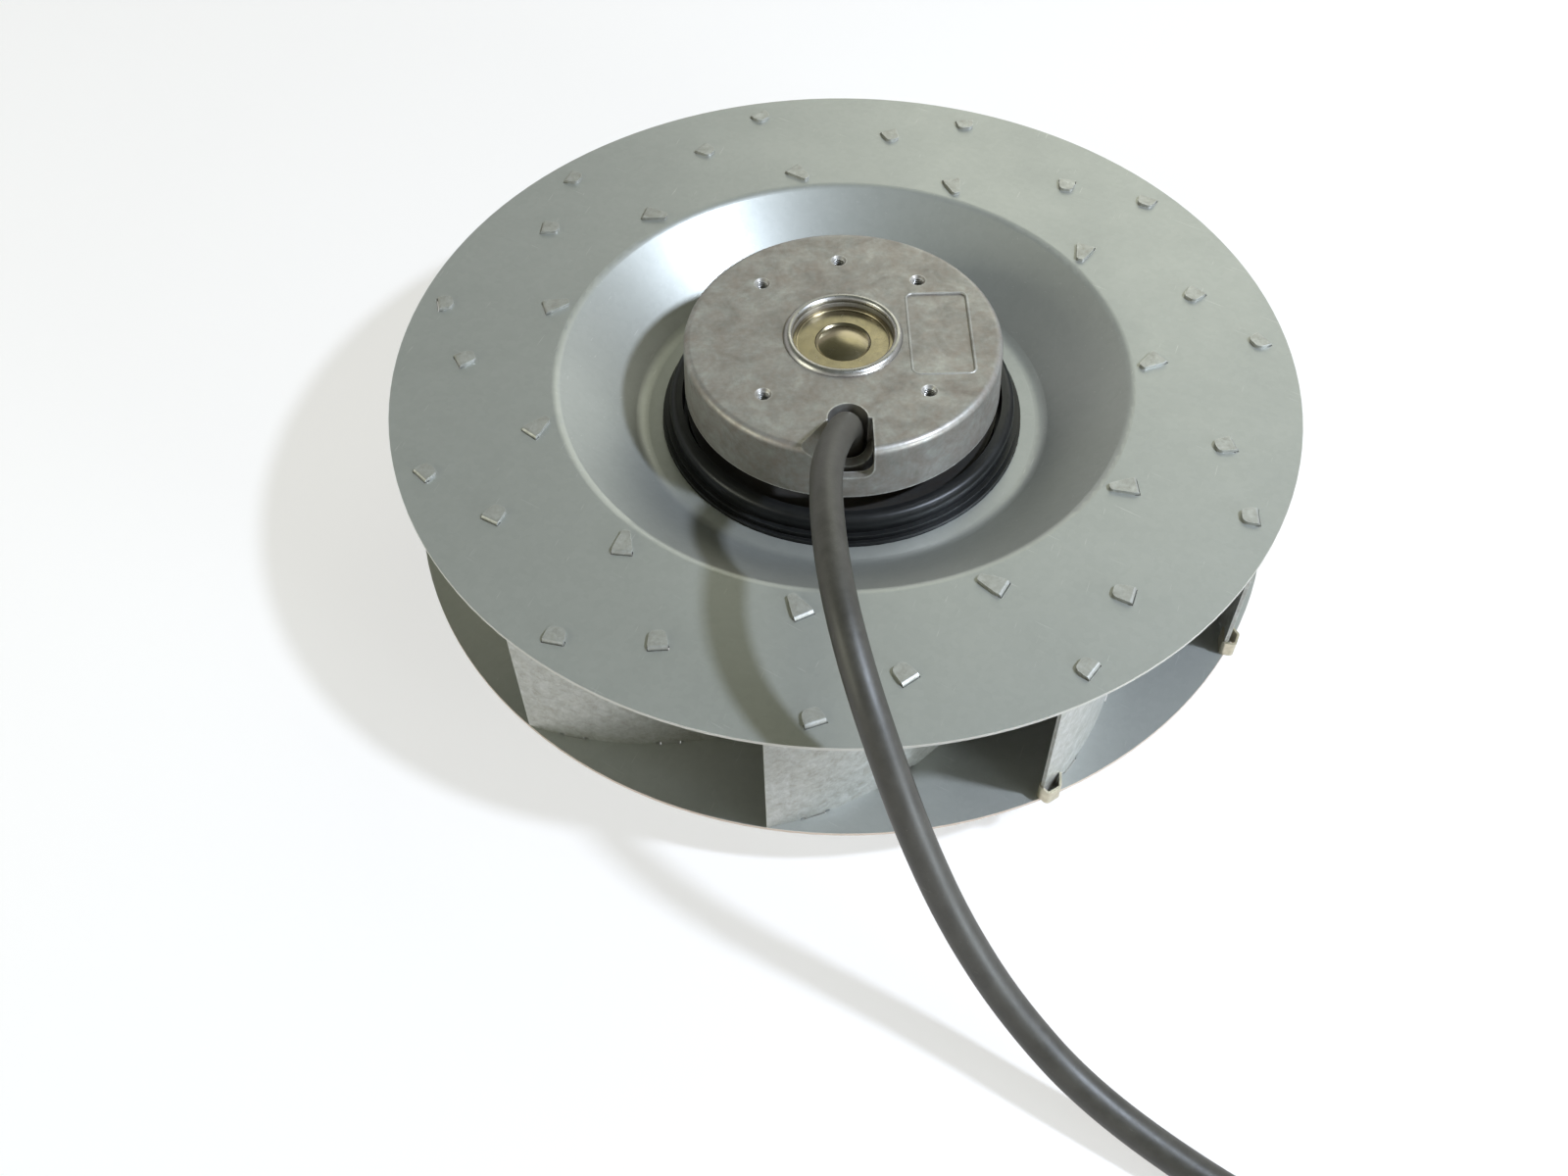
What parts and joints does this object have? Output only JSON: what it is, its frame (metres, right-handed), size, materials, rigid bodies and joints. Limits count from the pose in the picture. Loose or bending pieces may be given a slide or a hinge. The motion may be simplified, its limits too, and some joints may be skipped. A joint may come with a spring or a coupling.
{
  "type": "motorised centrifugal impeller",
  "caption": "Backward-curved centrifugal fan wheel of folded-tab sheet metal with an external-rotor motor in its hub, a cast fixing flange and a free cable.",
  "frame": {"origin": "on the wheel's axis at the lip of the inlet collar, which the part stands on", "axes": "+Z along the axis from the inlet towards the motor's fixing flange; the cable leaves the flange towards -Y"},
  "size_m": [0.254, 0.4771, 0.0946],
  "materials": {
    "galvanised_disc": "rolled zinc-coated sheet, satin",
    "galvanised_blade": "zinc-coated sheet with a mottled spangle",
    "rotor_black": "black satin paint",
    "lamination_steel": "stacked electrical sheet",
    "cast_cage": "cast",
    "ground_steel": "ground and polished",
    "ball_steel": "polished",
    "bearing_cage_steel": "pressed",
    "spring_steel": "phosphated",
    "weight_steel": "yellow passivated spring clip",
    "cast_aluminium": "die-cast, tumbled satin",
    "passivated_steel": "yellow passivated zinc",
    "copper_wire": "lacquered copper wire",
    "insulation_plastic": "moulded",
    "cutout_plastic": "shrink sleeve",
    "bush_plastic": "moulded",
    "lead_plastic": "insulated wire",
    "cable_sheath": "matte silicone rubber",
    "core_plastic": "coloured insulation",
    "tinned_copper": "tinned"
  },
  "bodies": {
    "stator": {"stator_flange": "cast_aluminium", "bearing_cap": "passivated_steel", "stator_core": "lamination_steel", "stator_winding": "copper_wire", "upper_insulator": "insulation_plastic", "lower_insulator": "insulation_plastic", "thermal_cutout": "cutout_plastic", "upper_bearing_outer_ring": "ground_steel", "lower_bearing_outer_ring": "ground_steel", "preload_spring": "spring_steel", "cable_bush": "bush_plastic", "winding_leads": "lead_plastic", "power_cable": "cable_sheath", "cable_cores": "core_plastic", "core_ferrules": "tinned_copper"},
    "rotor": {"back_plate": "galvanised_disc", "inlet_shroud": "galvanised_disc", "blade_01": "galvanised_blade", "blade_02": "galvanised_blade", "blade_03": "galvanised_blade", "blade_04": "galvanised_blade", "blade_05": "galvanised_blade", "blade_06": "galvanised_blade", "blade_07": "galvanised_blade", "blade_08": "galvanised_blade", "blade_09": "galvanised_blade", "blade_10": "galvanised_blade", "blade_11": "galvanised_blade", "balance_weight_10": "weight_steel", "balance_weight_11": "weight_steel", "rotor_pot": "rotor_black", "rotor_core": "lamination_steel", "rotor_cage": "cast_cage", "shaft": "ground_steel", "shaft_clip": "spring_steel", "upper_bearing_inner_ring": "ground_steel", "lower_bearing_inner_ring": "ground_steel"},
    "upper_ball_set": {"upper_bearing_balls": "ball_steel", "upper_bearing_cage": "bearing_cage_steel"},
    "lower_ball_set": {"lower_bearing_balls": "ball_steel", "lower_bearing_cage": "bearing_cage_steel"}
  },
  "joints": [
    {"name": "rotor_spin", "type": "hinge", "parent": "stator", "child": "rotor", "pos_m": [0, 0, 0.035], "axis": [0, 0, 1], "continuous": true},
    {"name": "upper_ball_orbit", "type": "hinge", "parent": "stator", "child": "upper_ball_set", "pos_m": [0, 0, 0.0601], "axis": [0, 0, 1], "continuous": true},
    {"name": "lower_ball_orbit", "type": "hinge", "parent": "stator", "child": "lower_ball_set", "pos_m": [0, 0, 0.017], "axis": [0, 0, 1], "continuous": true}
  ],
  "couplings": [
    {"joint": "upper_ball_orbit", "follows": "rotor_spin", "ratio": 0.3677},
    {"joint": "lower_ball_orbit", "follows": "rotor_spin", "ratio": 0.3677}
  ]
}
